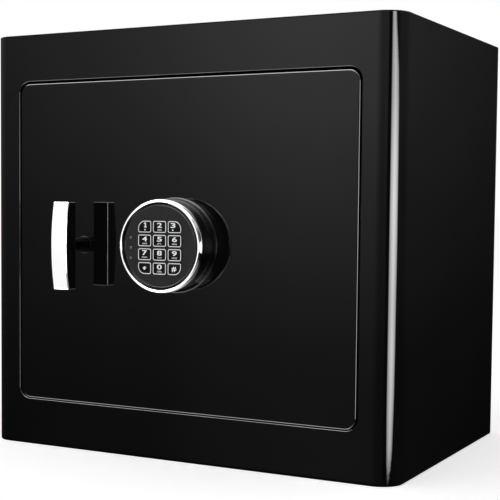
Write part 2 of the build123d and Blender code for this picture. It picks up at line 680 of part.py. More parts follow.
# ----------------------------------------------------------------- keypad
# side profile of the housing: radius and height above the door
HOUSING_PROFILE = [
    (0, 0), (44.3, 0), (44.3, 2.2), (43.9, 2.6), (43.0, 2.9), (43.0, 3.5),
    (43.4, 3.8), (43.4, 5.0), (42.5, 5.3), (42.5, 5.9), (42.9, 6.2), (42.9, 7.4),
    (42.0, 7.7), (42.0, 8.3), (42.4, 8.6), (42.4, 9.8), (41.4, 10.2), (41.4, 24.3),
    (39.9, 24.3), (39.9, 27.4), (38.3, 27.4), (38.3, 2.5), (0, 2.5),
]
DIAL_AXIS = Axis((DIAL_X, 0, DIAL_Z), (0, 1, 0))
DRAWER_W, DRAWER_Y0, DRAWER_Y1 = 52.4, -152.9, -171.6
DRAWER_TOP = 199.3
BATT_W, BATT_H, BATT_T = 48.5, 26.5, 17.5
with BuildPart() as keypad_housing:
    with BuildSketch(Plane.XY.offset(DIAL_Z)):
        with BuildLine():
            Polyline(*[(DIAL_X + r, Y_FRONT - h) for r, h in HOUSING_PROFILE], close=True)
        make_face()
    revolve(axis=DIAL_AXIS)
    bosses = KEYPAD_SCREWS + [(DIAL_X - 28.0, 222.0)]
    with BuildSketch(facing(PCB_REAR)):
        with Locations(*bosses):
            Circle(4)
    extrude(amount=Y_FRONT - 2.0 - PCB_REAR, dir=(0, 1, 0))
    with BuildSketch(facing(Y_FRONT + 1)):
        with Locations(*KEYPAD_SCREWS):
            Circle(2.05)
    extrude(amount=15, mode=Mode.SUBTRACT)
    with BuildSketch(facing(Y_FRONT + 1)):
        with Locations((CABLE_X, CABLE_Z)):
            Circle(2.2)
    extrude(amount=6, mode=Mode.SUBTRACT)
    # slot for the battery drawer
    with BuildSketch(Plane.XY.offset(DIAL_Z - 50)):
        with Locations((DIAL_X, (DRAWER_Y0 + DRAWER_Y1) / 2)):
            Rectangle(DRAWER_W + 0.8, DRAWER_Y0 - DRAWER_Y1 + 0.8)
    extrude(amount=47, mode=Mode.SUBTRACT)
save(keypad_housing, "keypad_housing")

with BuildPart() as keypad_chrome_ring:
    with BuildSketch(Plane.XY.offset(DIAL_Z)):
        with BuildLine():
            Polyline(
                (DIAL_X + RING_IN_R, RING_FRONT + 0.6),
                (DIAL_X + RING_IN_R, Y_FRONT - 24.5),
                (DIAL_X + RING_OUT_R, Y_FRONT - 24.5),
                (DIAL_X + RING_OUT_R, RING_FRONT),
                (DIAL_X + RING_IN_R + 0.6, RING_FRONT),
                close=True,
            )
        make_face()
    revolve(axis=DIAL_AXIS)
    outer = keypad_chrome_ring.edges().filter_by(
        lambda e: e.geom_type == GeomType.CIRCLE and abs(e.radius - RING_OUT_R) < 0.01
    )
    fillet(outer, 0.7)
save(keypad_chrome_ring, "keypad_chrome_ring")

# keys: column, row, name; row 0 at the top
KEYS = [
    (-1, 0, "key_1"), (0, 0, "key_2"), (1, 0, "key_3"),
    (-1, 1, "key_4"), (0, 1, "key_5"), (1, 1, "key_6"),
    (-1, 2, "key_7"), (0, 2, "key_8"), (1, 2, "key_9"),
    (-1, 3, "key_star"), (0, 3, "key_0"), (1, 3, "key_hash"),
]


def key_outline(col, row, grow):
    """Key outline on the front plane: a rounded rectangle whose corner that
    faces the dial's rim is cut by a large radius."""
    cx = KEY_CX + col * KEY_PX
    cz = KEY_CZ + (1.5 - row) * KEY_PZ
    w, h = KEY_W + 2 * grow, KEY_H + 2 * grow
    radius = {(i, j): KEY_R + grow for i in (-1, 1) for j in (-1, 1)}
    if col != 0 and row in (0, 3):
        radius[(col, 1 if row == 0 else -1)] = KEY_BIG_R + grow
    with BuildSketch(facing(0)) as outline:
        with BuildLine():
            points, radii = [], []
            for i, j in ((1, 1), (-1, 1), (-1, -1), (1, -1)):
                points.append((cx + i * w / 2, cz + j * h / 2))
                radii.append(radius[(i, j)])
            FilletPolyline(*points, radius=radii, close=True)
        make_face()
    return outline.sketch


key_holes = [
    key_outline(col, row, KEY_GAP).moved(Location((0, FACE_FRONT + 3, 0)))
    for col, row, name in KEYS
]
key_bodies = [
    key_outline(col, row, 0.0).moved(Location((0, KEY_REAR, 0)))
    for col, row, name in KEYS
]

with BuildPart() as keypad_face:
    with BuildSketch(facing(FACE_FRONT + 2.6)):
        with Locations((DIAL_X, DIAL_Z)):
            Circle(38.2)
    extrude(amount=1.6)
    with BuildSketch(facing(FACE_FRONT + 1.0)):
        with Locations((DIAL_X, DIAL_Z)):
            Circle(FACE_R)
    extrude(amount=1.0)
    front = keypad_face.faces().sort_by(Axis.Y)[0]
    fillet(front.edges(), 0.6)
    for hole in key_holes:
        extrude(hole, amount=5, dir=(0, -1, 0), mode=Mode.SUBTRACT)
    with BuildSketch(facing(FACE_FRONT + 3)):
        with Locations((DIAL_X - 31, 210.2), (DIAL_X - 31, 201.0), (DIAL_X - 31, 191.6)):
            Circle(1.25)
    extrude(amount=5, mode=Mode.SUBTRACT)
save(keypad_face, "keypad_face")

with BuildPart() as led_indicators:
    with BuildSketch(facing(PCB_FRONT)):
        with Locations((DIAL_X - 31, 210.2), (DIAL_X - 31, 201.0), (DIAL_X - 31, 191.6)):
            Circle(1.2)
    extrude(amount=PCB_FRONT - FACE_FRONT + 0.2)
    fillet(led_indicators.faces().group_by(Axis.Y)[0].edges(), 0.4)
save(led_indicators, "led_indicators")

for body, (col, row, name) in zip(key_bodies, KEYS):
    with BuildPart() as key:
        extrude(body, amount=KEY_REAR - KEY_FRONT, dir=(0, -1, 0))
        fillet(key.faces().sort_by(Axis.Y)[0].edges(), 0.5)
    save(key, name)

with BuildPart() as keypad_pcb:
    with BuildSketch(facing(PCB_REAR)):
        with Locations((DIAL_X, DIAL_Z)):
            Circle(37.6)
    extrude(amount=PCB_REAR - PCB_FRONT)
save(keypad_pcb, "keypad_pcb")

with BuildPart() as battery_contacts:
    with BuildSketch(facing(-156)):
        with Locations((DIAL_X, 201.4)):
            Rectangle(24, 1.6)
    extrude(amount=-156 - PCB_REAR)
save(battery_contacts, "battery_contacts")

with BuildPart() as keypad_screws:
    with BuildSketch(facing(BASE_REAR)):
        with Locations(*KEYPAD_SCREWS):
            Circle(2.0)
    extrude(amount=34)
    with BuildSketch(facing(BASE_REAR + 2.8)):
        with Locations(*KEYPAD_SCREWS):
            Circle(3.8)
    extrude(amount=2.8)
save(keypad_screws, "keypad_screws")

with BuildPart() as battery_drawer:
    # tray that follows the housing's round side at its lower end
    with BuildSketch(facing(DRAWER_Y0)):
        with Locations((DIAL_X, DRAWER_TOP - 25)):
            Rectangle(DRAWER_W, 50)
        with Locations((DIAL_X, DIAL_Z)):
            Circle(41.4, mode=Mode.INTERSECT)
    extrude(amount=DRAWER_Y0 - DRAWER_Y1)
    with BuildSketch(facing(DRAWER_Y0 - 0.8)):
        with Locations((DIAL_X, DRAWER_TOP - 1 - (BATT_H + 0.3) / 2)):
            Rectangle(BATT_W + 0.3, BATT_H + 0.3)
    extrude(amount=20, mode=Mode.SUBTRACT)
    # thumb grip
    with BuildSketch(facing(DRAWER_Y1)):
        with Locations((DIAL_X, DIAL_Z - 41.4)):
            Rectangle(22, 2.4)
    extrude(amount=-3.0, mode=Mode.SUBTRACT)
save(battery_drawer, "battery_drawer")

with BuildPart() as battery:
    with BuildSketch(facing(DRAWER_Y0 - 0.9)):
        with Locations((DIAL_X, DRAWER_TOP - 1.15 - BATT_H / 2)):
            RectangleRounded(BATT_W, BATT_H, 2)
    extrude(amount=BATT_T)
save(battery, "battery")

# keypad lead: straight in through the door, then across to the lock
CABLE_RUN = [
    (CABLE_X, PCB_REAR, CABLE_Z),
    (CABLE_X, -117, CABLE_Z),
    (LOCK_X1, -117, CABLE_Z),
]
CABLE_BEND = 12.0
with BuildPart() as keypad_cable:
    with BuildLine() as run:
        FilletPolyline(*CABLE_RUN, radius=CABLE_BEND)
    with BuildSketch(Plane(origin=CABLE_RUN[0], z_dir=(0, 1, 0))):
        Circle(CABLE_R)
    sweep(path=run.wires()[0])
save(keypad_cable, "keypad_cable")
print("keypad lead bend radius", CABLE_BEND, "mm, volume", round(keypad_cable.part.volume, 1))
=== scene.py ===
import bpy, bmesh, json, math
from mathutils import Vector, Matrix

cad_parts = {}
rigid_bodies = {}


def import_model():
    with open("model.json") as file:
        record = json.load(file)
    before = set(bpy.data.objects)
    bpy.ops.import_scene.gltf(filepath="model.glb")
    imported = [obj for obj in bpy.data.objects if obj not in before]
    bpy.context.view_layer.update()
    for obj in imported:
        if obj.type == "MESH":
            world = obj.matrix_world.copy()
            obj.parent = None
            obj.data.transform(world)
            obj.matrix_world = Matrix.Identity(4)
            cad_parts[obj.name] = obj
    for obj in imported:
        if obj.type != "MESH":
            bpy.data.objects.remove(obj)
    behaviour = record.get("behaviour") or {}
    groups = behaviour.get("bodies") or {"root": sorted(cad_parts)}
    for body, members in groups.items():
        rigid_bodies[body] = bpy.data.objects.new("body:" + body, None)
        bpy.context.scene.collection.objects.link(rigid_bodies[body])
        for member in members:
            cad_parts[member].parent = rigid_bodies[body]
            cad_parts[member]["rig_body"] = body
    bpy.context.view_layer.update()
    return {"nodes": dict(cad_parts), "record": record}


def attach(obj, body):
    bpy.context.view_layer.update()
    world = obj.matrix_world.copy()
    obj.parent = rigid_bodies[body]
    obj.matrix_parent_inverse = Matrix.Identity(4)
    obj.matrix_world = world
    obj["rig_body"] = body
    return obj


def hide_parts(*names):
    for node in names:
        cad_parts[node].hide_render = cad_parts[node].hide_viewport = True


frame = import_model()
N = frame["nodes"]
scene = bpy.context.scene
COL = scene.collection
MM = 0.001

# ------------------------------------------------------------------ sizes (mm)
Y_FRONT = -150.0
DIAL = Vector((-0.9, Y_FRONT, 203.0))


# ------------------------------------------------------------------ materials
class Mat:
    """A small helper around one node material with a Principled shader."""

    def __init__(self, name):
        self.m = bpy.data.materials.new(name)
        self.m.use_nodes = True
        self.t = self.m.node_tree
        self.b = self.t.nodes["Principled BSDF"]
        self.coord = self.t.nodes.new("ShaderNodeTexCoord")

    def node(self, kind, **inputs):
        n = self.t.nodes.new(kind)
        for k, v in inputs.items():
            n.inputs[k.replace("_", " ")].default_value = v
        return n

    def link(self, a, b):
        self.t.links.new(a, b)

    def mapping(self, scale):
        mp = self.t.nodes.new("ShaderNodeMapping")
        mp.inputs["Scale"].default_value = scale
        self.link(self.coord.outputs["Object"], mp.inputs["Vector"])
        return mp.outputs["Vector"]

    def noise(self, scale, detail=3.0, rough=0.5, vec=None, stretch=(1, 1, 1)):
        n = self.t.nodes.new("ShaderNodeTexNoise")
        n.inputs["Scale"].default_value = scale
        n.inputs["Detail"].default_value = detail
        n.inputs["Roughness"].default_value = rough
        self.link(vec or self.mapping(stretch), n.inputs["Vector"])
        return n.outputs["Fac"]

    def ramp(self, fac, stops):
        r = self.t.nodes.new("ShaderNodeValToRGB")
        e = r.color_ramp.elements
        while len(e) < len(stops):
            e.new(0.5)
        for el, (p, c) in zip(e, stops):
            el.position = p
            el.color = c if len(c) == 4 else (*c, 1)
        self.link(fac, r.inputs["Fac"])
        return r.outputs["Color"]

    def span(self, fac, lo, hi, a=0.3, b=0.7):
        r = self.t.nodes.new("ShaderNodeMapRange")
        r.inputs["From Min"].default_value = a
        r.inputs["From Max"].default_value = b
        r.inputs["To Min"].default_value = lo
        r.inputs["To Max"].default_value = hi
        self.link(fac, r.inputs["Value"])
        return r.outputs["Result"]

    def bump(self, height, strength, distance, socket="Normal"):
        b = self.t.nodes.new("ShaderNodeBump")
        b.inputs["Strength"].default_value = strength
        b.inputs["Distance"].default_value = distance
        self.link(height, b.inputs["Height"])
        self.link(b.outputs["Normal"], self.b.inputs[socket])
        return b


def add_math(m, a, b, op="ADD"):
    n = m.t.nodes.new("ShaderNodeMath")
    n.operation = op
    for i, v in enumerate((a, b)):
        if isinstance(v, (int, float)):
            n.inputs[i].default_value = v
        else:
            m.link(v, n.inputs[i])
    return n.outputs[0]


def gloss_black():
    m = Mat("gloss_black_enamel")
    m.b.inputs["Roughness"].default_value = 0.35
    m.b.inputs["Specular IOR Level"].default_value = 0.0
    m.b.inputs["Coat Weight"].default_value = 1.0
    m.b.inputs["Coat Roughness"].default_value = 0.012
    m.b.inputs["Coat IOR"].default_value = 1.5
    # deep black with a faint cloudiness, only seen in strong light
    c = m.noise(9.0, 4.0, 0.55)
    m.link(m.ramp(c, [(0.35, (0.0016, 0.0016, 0.0018)), (0.7, (0.0028, 0.0028, 0.0031))]), m.b.inputs["Base Color"])
    # slow orange peel of a sprayed and polished coat
    h = add_math(m, m.noise(55.0, 2.0, 0.4), m.noise(210.0, 2.0, 0.5), "ADD")
    m.bump(h, 0.05, 0.00012, "Coat Normal")
    return m.m


def powder(name, lo, hi, rough, grain=1400.0, strength=0.35):
    m = Mat(name)
    c = m.noise(30.0, 5.0, 0.6)
    m.link(m.ramp(c, [(0.3, lo), (0.75, hi)]), m.b.inputs["Base Color"])
    f = m.noise(grain, 3.0, 0.6)
    m.link(m.span(f, rough - 0.07, rough + 0.1), m.b.inputs["Roughness"])
    m.bump(f, strength, 0.00008)
    return m.m


def metal(name, lo, hi, r0, r1, stretch=(1, 1, 1), scale=600.0, strength=0.1):
    m = Mat(name)
    m.b.inputs["Metallic"].default_value = 1.0
    c = m.noise(60.0, 4.0, 0.6)
    m.link(m.ramp(c, [(0.3, lo), (0.7, hi)]), m.b.inputs["Base Color"])
    f = m.noise(scale, 4.0, 0.6, stretch=stretch)
    m.link(m.span(f, r0, r1), m.b.inputs["Roughness"])
    m.bump(f, strength, 0.00003)
    return m.m


def chrome():
    m = Mat("bright_chrome")
    m.b.inputs["Metallic"].default_value = 1.0
    c = m.noise(40.0, 3.0, 0.5)
    m.link(m.ramp(c, [(0.3, (0.90, 0.905, 0.91)), (0.7, (0.94, 0.94, 0.94))]), m.b.inputs["Base Color"])
    # the faintest haze, as handled chrome has
    f = m.noise(35.0, 6.0, 0.65)
    m.link(m.span(f, 0.02, 0.05, 0.35, 0.75), m.b.inputs["Roughness"])
    return m.m


def plastic(name, lo, hi, r0, r1, grain=2500.0, strength=0.12, spec=0.5, clouds=45.0):
    m = Mat(name)
    m.b.inputs["Specular IOR Level"].default_value = spec
    c = m.noise(clouds, 4.0, 0.6)
    m.link(m.ramp(c, [(0.3, lo), (0.7, hi)]), m.b.inputs["Base Color"])
    f = m.noise(grain, 2.0, 0.5)
    m.link(m.span(f, r0, r1), m.b.inputs["Roughness"])
    m.bump(f, strength, 0.00003)
    return m.m


def felt():
    m = Mat("mat_felt")
    a = m.noise(900.0, 6.0, 0.7, stretch=(1, 0.35, 1))
    b = m.noise(60.0, 3.0, 0.6)
    m.link(m.ramp(add_math(m, add_math(m, a, 0.7, "MULTIPLY"), add_math(m, b, 0.3, "MULTIPLY")), [(0.3, (0.018, 0.018, 0.020)), (0.7, (0.055, 0.055, 0.060))]), m.b.inputs["Base Color"])
    m.b.inputs["Roughness"].default_value = 0.95
    m.b.inputs["Sheen Weight"].default_value = 0.3
    m.bump(a, 0.6, 0.0004)
    return m.m


def board():
    m = Mat("board_green")
    w = m.t.nodes.new("ShaderNodeTexBrick")
    m.link(m.mapping((420, 420, 420)), w.inputs["Vector"])
    w.inputs["Color1"].default_value = (0.012, 0.11, 0.05, 1)
    w.inputs["Color2"].default_value = (0.010, 0.09, 0.042, 1)
    w.inputs["Mortar"].default_value = (0.02, 0.17, 0.08, 1)
    m.link(w.outputs["Color"], m.b.inputs["Base Color"])
    m.link(m.span(m.noise(300.0), 0.25, 0.4), m.b.inputs["Roughness"])
    return m.m


def battery_skin():
    m = Mat("battery_can")
    f = m.noise(40.0, 3.0, 0.5)
    m.link(m.ramp(f, [(0.3, (0.015, 0.015, 0.017)), (0.7, (0.03, 0.03, 0.032))]), m.b.inputs["Base Color"])
    m.link(m.span(m.noise(500.0), 0.22, 0.36), m.b.inputs["Roughness"])
    return m.m


MATS = {
    "gloss_black_enamel": gloss_black(),
    "satin_black_enamel": powder("satin_black_enamel", (0.008, 0.008, 0.009), (0.014, 0.014, 0.015), 0.42),
    "grey_enamel": powder("grey_enamel", (0.115, 0.118, 0.122), (0.15, 0.153, 0.158), 0.5, 1100.0, 0.45),
    "cast_insulation": powder("cast_insulation", (0.60, 0.58, 0.54), (0.74, 0.72, 0.68), 0.85, 300.0, 1.0),
    "seal_strip": powder("seal_strip", (0.012, 0.012, 0.012), (0.022, 0.022, 0.022), 0.75, 800.0, 0.5),
    "mat_felt": felt(),
    "plated_steel": metal("plated_steel", (0.56, 0.56, 0.53), (0.68, 0.68, 0.66), 0.24, 0.42, scale=300.0),
    "polished_steel": metal("polished_steel", (0.66, 0.66, 0.66), (0.74, 0.74, 0.74), 0.12, 0.26, (8, 1, 1), 500.0),
    "bush_brass": metal("bush_brass", (0.66, 0.48, 0.20), (0.80, 0.62, 0.30), 0.2, 0.34),
    "bright_chrome": chrome(),
    "black_metal": plastic("black_metal", (0.0008, 0.0008, 0.0009), (0.0016, 0.0016, 0.0017), 0.14, 0.22, 700.0, 0.03, 0.07),
    "cast_zinc": metal("cast_zinc", (0.46, 0.47, 0.48), (0.60, 0.61, 0.62), 0.42, 0.6, scale=500.0, strength=0.4),
    "housing_plastic": plastic("housing_plastic", (0.0006, 0.0006, 0.0007), (0.0013, 0.0013, 0.0014), 0.2, 0.3, 1800.0, 0.15, 0.2),
    "face_plastic": plastic("face_plastic", (0.0085, 0.0085, 0.0095), (0.0105, 0.0105, 0.0118), 0.34, 0.44, 2600.0, 0.15, 0.3),
    "key_plastic": plastic("key_plastic", (0.0025, 0.0025, 0.0028), (0.0045, 0.0045, 0.005), 0.2, 0.3, 2600.0, 0.08, 0.3),
    "board_green": board(),
    "legend_white": plastic("legend_white", (0.74, 0.74, 0.75), (0.82, 0.82, 0.83), 0.45, 0.6, 3000.0, 0.05, 0.3),
    "battery_can": battery_skin(),
    "lead_rubber": plastic("lead_rubber", (0.012, 0.012, 0.012), (0.02, 0.02, 0.02), 0.5, 0.65, 900.0, 0.2, 0.4),
}
OUTLINE = plastic("key_outline_grey", (0.66, 0.66, 0.67), (0.74, 0.74, 0.75), 0.4, 0.55, 3000.0, 0.05, 0.3)
# pure black material for the reflection-only cards below, which paint shade into the reflections on the body's folds
CARD = plastic("black_card", (0.0, 0.0, 0.0), (0.0, 0.0, 0.0), 0.9, 1.0, 900.0, 0.0, 0.0)
LENS = plastic("indicator_lens", (0.075, 0.075, 0.08), (0.095, 0.095, 0.10), 0.25, 0.35, 2000.0, 0.05, 0.5)

slots = {s["node"]: s["material_slot"] for s in frame["record"]["subparts"]}
for name, ob in N.items():
    mat = MATS[slots[name]]
    if not ob.material_slots:
        ob.data.materials.append(mat)
    for s in ob.material_slots:
        s.material = mat
for s in N["led_indicators"].material_slots:
    s.material = LENS


# ------------------------------------------------------------------ mesh tools
def new_object(name, bm, mat, smooth=35.0):
    me = bpy.data.meshes.new(name)
    bmesh.ops.recalc_face_normals(bm, faces=bm.faces)
    bm.to_mesh(me)
    bm.free()
    ob = bpy.data.objects.new(name, me)
    COL.objects.link(ob)
    me.materials.append(mat)
    shade(me, smooth)
    return ob


def shade(me, degrees):
    me.polygons.foreach_set("use_smooth", [True] * len(me.polygons))
    me.set_sharp_from_angle(angle=math.radians(degrees))
    me.update()


def weighted(ob):
    w = ob.modifiers.new("weighted", "WEIGHTED_NORMAL")
    w.keep_sharp = True
    w.weight = 100
    return ob


def apply_all(ob):
    bpy.context.view_layer.update()
    dg = bpy.context.evaluated_depsgraph_get()
    me = bpy.data.meshes.new_from_object(ob.evaluated_get(dg), preserve_all_data_layers=True, depsgraph=dg)
    ob.modifiers.clear()
    ob.data = me
    return ob


def refine(node, bevel=0.0, segments=3, angle=55.0, dissolve=0.6, mat=None, smooth=35.0, name=None):
    """A cleaned copy of a CAD node: flat faces become single faces, remaining
    sharp edges get a fine rounding, and the shading follows the big faces."""
    src = N[node]
    bm = bmesh.new()
    bm.from_mesh(src.data)
    bmesh.ops.remove_doubles(bm, verts=bm.verts, dist=2e-6)
    bmesh.ops.dissolve_limit(
        bm, angle_limit=math.radians(dissolve), verts=bm.verts, edges=bm.edges,
        use_dissolve_boundaries=False, delimit=set(),
    )
    ob = new_object(name or node + "_skin", bm, mat or MATS[slots[node]], smooth)
    if bevel:
        b = ob.modifiers.new("bevel", "BEVEL")
        b.width = bevel * MM
        b.segments = segments
        b.limit_method = "ANGLE"
        b.angle_limit = math.radians(angle)
        b.harden_normals = False
        b.use_clamp_overlap = True
        b.miter_outer = "MITER_ARC"
    weighted(ob)
    apply_all(ob)
    body = src["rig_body"]
    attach(ob, body)
    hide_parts(node)
    return ob


def lathe(name, profile, mat, steps=192, closed=True, smooth=30.0):
    """Turns a profile of (radius, height above the door) in mm about the dial axis."""
    bm = bmesh.new()
    rings = []
    for r, h in profile:
        if r < 1e-6:
            rings.append([bm.verts.new((DIAL.x * MM, (Y_FRONT - h) * MM, DIAL.z * MM))])
            continue
        ring = []
        for i in range(steps):
            a = 2 * math.pi * i / steps
            ring.append(bm.verts.new(((DIAL.x + r * math.cos(a)) * MM, (Y_FRONT - h) * MM, (DIAL.z + r * math.sin(a)) * MM)))
        rings.append(ring)
    pairs = list(zip(rings, rings[1:] + ([rings[0]] if closed else [])))
    for a, b in pairs:
        if len(a) == 1 and len(b) == 1:
            continue
        for i in range(steps):
            j = (i + 1) % steps
            if len(a) == 1:
                bm.faces.new((a[0], b[i], b[j]))
            elif len(b) == 1:
                bm.faces.new((a[i], a[j], b[0]))
            else:
                bm.faces.new((a[i], a[j], b[j], b[i]))
    return new_object(name, bm, mat, smooth)


def arc(cx, cy, r, a0, a1, n):
    """Points of an arc, angles in degrees, both ends included."""
    return [(cx + r * math.cos(math.radians(a0 + (a1 - a0) * i / n)), cy + r * math.sin(math.radians(a0 + (a1 - a0) * i / n))) for i in range(n + 1)]


def rounded_outline(cx, cz, w, h, radii, n=8):
    """Closed outline, counter-clockwise from the front; radii for the corners
    (+,+), (-,+), (-,-), (+,-)."""
    pts = []
    for (sx, sz), r, a0 in zip(((1, 1), (-1, 1), (-1, -1), (1, -1)), radii, (0, 90, 180, 270)):
        ox, oz = cx + sx * (w / 2 - r), cz + sz * (h / 2 - r)
        pts += arc(ox, oz, r, a0, a0 + 90, n)
    return pts


def front_prism(bm, pts, y0, y1, rim=0.0, rim_n=3):
    """Closed prism between y0 (back) and y1 (front, nearer the viewer), mm, with
    a rounded front rim of radius rim."""
    cx = sum(p[0] for p in pts) / len(pts)
    cz = sum(p[1] for p in pts) / len(pts)
    layers = [(0.0, y0)]
    if rim:
        for i in range(rim_n + 1):
            a = math.radians(90 * i / rim_n)
            layers.append((rim * (1 - math.cos(a)), y1 + rim * (1 - math.sin(a))))
    else:
        layers.append((0.0, y1))
    rings = []
    n = len(pts)
    for inset, y in layers:
        ring = []
        for i in range(n):
            p0, p1, p2 = Vector(pts[i - 1]), Vector(pts[i]), Vector(pts[(i + 1) % n])
            t = (p2 - p0).normalized()
            nrm = Vector((t.y, -t.x))
            q = p1 - nrm * inset
            ring.append(bm.verts.new((q.x * MM, y * MM, q.y * MM)))
        rings.append(ring)
    for a, b in zip(rings, rings[1:]):
        for i in range(n):
            j = (i + 1) % n
            bm.faces.new((a[i], a[j], b[j], b[i]))
    bm.faces.new(rings[0])
    bm.faces.new(list(reversed(rings[-1])))


def band(bm, outer, inner, y0, y1):
    """Flat closed band between two outlines, from y0 (back) to y1 (front)."""
    n = len(outer)
    rows = []
    for pts, y in ((outer, y0), (outer, y1), (inner, y1), (inner, y0)):
        rows.append([bm.verts.new((p[0] * MM, y * MM, p[1] * MM)) for p in pts])
    for a, b in zip(rows, rows[1:] + rows[:1]):
        for i in range(n):
            j = (i + 1) % n
            bm.faces.new((a[i], a[j], b[j], b[i]))


# ------------------------------------------------------------------ body skin
shell = refine("outer_shell", bevel=1.0, segments=4, angle=60.0)

# door front plate: smooth rounded outline, rolled front edge, bores cut through
DOOR_C, DOOR_S = (0.15, 202.25), (359.3, 311.7)
bm = bmesh.new()
front_prism(bm, rounded_outline(DOOR_C[0], DOOR_C[1], DOOR_S[0], DOOR_S[1], [10.6] * 4, 24), -146.0, -150.0, 1.6, 10)
door = new_object("door_plate_skin", bm, MATS["gloss_black_enamel"], 40.0)
bm = bmesh.new()
for bx, bz, br in ((-103.3, 201.1, 8.0), (11.1, 226.0, 3.5), (-0.9, 236.0, 2.1), (30.1, 212.0, 2.1)):
    rows = []
    for y in (-140.0, -156.0):
        rows.append([bm.verts.new(((bx + br * math.cos(2 * math.pi * i / 48)) * MM, y * MM, (bz + br * math.sin(2 * math.pi * i / 48)) * MM)) for i in range(48)])
    for i in range(48):
        j = (i + 1) % 48
        bm.faces.new((rows[0][i], rows[0][j], rows[1][j], rows[1][i]))
    bm.faces.new(rows[0])
    bm.faces.new(list(reversed(rows[1])))
cutter = new_object("bore_cutter", bm, MATS["gloss_black_enamel"])
cut = door.modifiers.new("bores", "BOOLEAN")
cut.operation = "DIFFERENCE"
cut.solver = "EXACT"
cut.object = cutter
weighted(door)
apply_all(door)
bpy.data.objects.remove(cutter)
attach(door, "door")
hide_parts("door_plate")

# handle bar: a loft of rounded sections along its length, bowed to the front
BAR_X, BAR_Z, BAR_W, BAR_L = -103.3, 201.1, 17.0, 82.0
BAR_BACK, BAR_END, BAR_MID = -176.8, -189.2, -193.4


def bar_front(dz):
    half, sag = BAR_L / 2, BAR_END - BAR_MID
    r = (half * half + sag * sag) / (2 * sag)
    return BAR_MID + r - math.sqrt(r * r - dz * dz)


def bar_section(dz, inset):
    yf, yb = bar_front(dz) + inset * 0.9, BAR_BACK - inset * 0.6
    hw = BAR_W / 2 - inset
    r = 0.8
    pts = []
    for cx, cy, a0 in ((hw - r, yb - r, 0), (-hw + r, yb - r, 90), (-hw + r, yf + r, 180), (hw - r, yf + r, 270)):
        pts += [(BAR_X + cx + r * math.cos(math.radians(a0 + 90 * i / 5)), cy + r * math.sin(math.radians(a0 + 90 * i / 5))) for i in range(6)]
    return pts


bm = bmesh.new()
R_END = 0.6
low = sorted({(round(-BAR_L / 2 + R_END * (1 - math.sin(math.radians(15 * i))), 5), round(R_END * (1 - math.cos(math.radians(15 * i))), 5)) for i in range(7)})
low = [(z, R_END - R_END * math.sqrt(max(0.0, 1 - ((R_END - (z + BAR_L / 2)) / R_END) ** 2))) for z, _ in low]
mid = [(-BAR_L / 2 + R_END + (BAR_L - 2 * R_END) * i / 48, 0.0) for i in range(1, 48)]
high = [(-z, ins) for z, ins in reversed(low)]
rings = []
for dz, ins in low + mid + high:
    rings.append([bm.verts.new((x * MM, y * MM, (BAR_Z + dz) * MM)) for x, y in bar_section(dz, ins)])
for a, b in zip(rings, rings[1:]):
    for i in range(len(a)):
        j = (i + 1) % len(a)
        bm.faces.new((a[i], a[j], b[j], b[i]))
bm.faces.new(rings[0])
bm.faces.new(rings[-1])
bar = new_object("handle_bar_body", bm, MATS["bright_chrome"], 40.0)
weighted(bar)
apply_all(bar)
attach(bar, "handle")
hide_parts("handle_bar")

# ------------------------------------------------------------------ keypad
housing_profile = (
    [(0, 0), (44.0, 0)] + arc(44.0, 0.3, 0.3, -90, 0, 3) + arc(44.0, 1.9, 0.3, 0, 90, 3)
    + [(43.0, 2.9), (43.0, 3.5)]
    + [(43.35, 3.75), (43.4, 3.9), (43.4, 4.9), (43.35, 5.05), (42.5, 5.3), (42.5, 5.9)]
    + [(42.85, 6.15), (42.9, 6.3), (42.9, 7.3), (42.85, 7.45), (42.0, 7.7), (42.0, 8.3)]
    + [(42.35, 8.55), (42.4, 8.7), (42.4, 9.7), (42.3, 9.85), (41.5, 10.15), (41.4, 10.4)]
    + [(41.4, 23.9), (41.3, 24.2), (41.05, 24.3), (39.9, 24.3), (39.9, 27.3), (39.8, 27.4), (38.4, 27.4), (38.3, 27.3), (38.3, 2.5), (0, 2.5)]
)
housing = lathe("keypad_housing_body", housing_profile, MATS["housing_plastic"], 192, closed=False, smooth=28.0)
cutter_bm = bmesh.new()
bmesh.ops.create_cube(cutter_bm, size=1.0)
for v in cutter_bm.verts:
    v.co = Vector(((DIAL.x + v.co.x * 53.2) * MM, (-162.25 + v.co.y * 19.5) * MM, (176.5 + v.co.z * 47.0) * MM))
cutter = new_object("slot_cutter", cutter_bm, MATS["housing_plastic"])
cut = housing.modifiers.new("slot", "BOOLEAN")
cut.operation = "DIFFERENCE"
cut.solver = "EXACT"
cut.object = cutter
apply_all(housing)
bpy.data.objects.remove(cutter)
shade(housing.data, 28.0)
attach(housing, "door")
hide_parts("keypad_housing")

# chrome ring: flat front land, rounded rims, a fine groove round its side
ring_profile = (
    [(40.1, 24.5), (42.9, 24.5), (43.0, 24.6), (43.0, 26.0), (42.98, 26.4)]
    + [(42.3, 29.6), (42.2, 29.72), (42.08, 29.72), (41.95, 29.3), (41.85, 29.3), (41.82, 30.55)]
    + arc(41.47, 30.65, 0.35, 0, 90, 6)
    + arc(40.45, 30.65, 0.35, 90, 180, 6)
)
ring = lathe("keypad_ring", ring_profile, MATS["bright_chrome"], 256, closed=True, smooth=40.0)
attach(ring, "door")
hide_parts("keypad_chrome_ring")

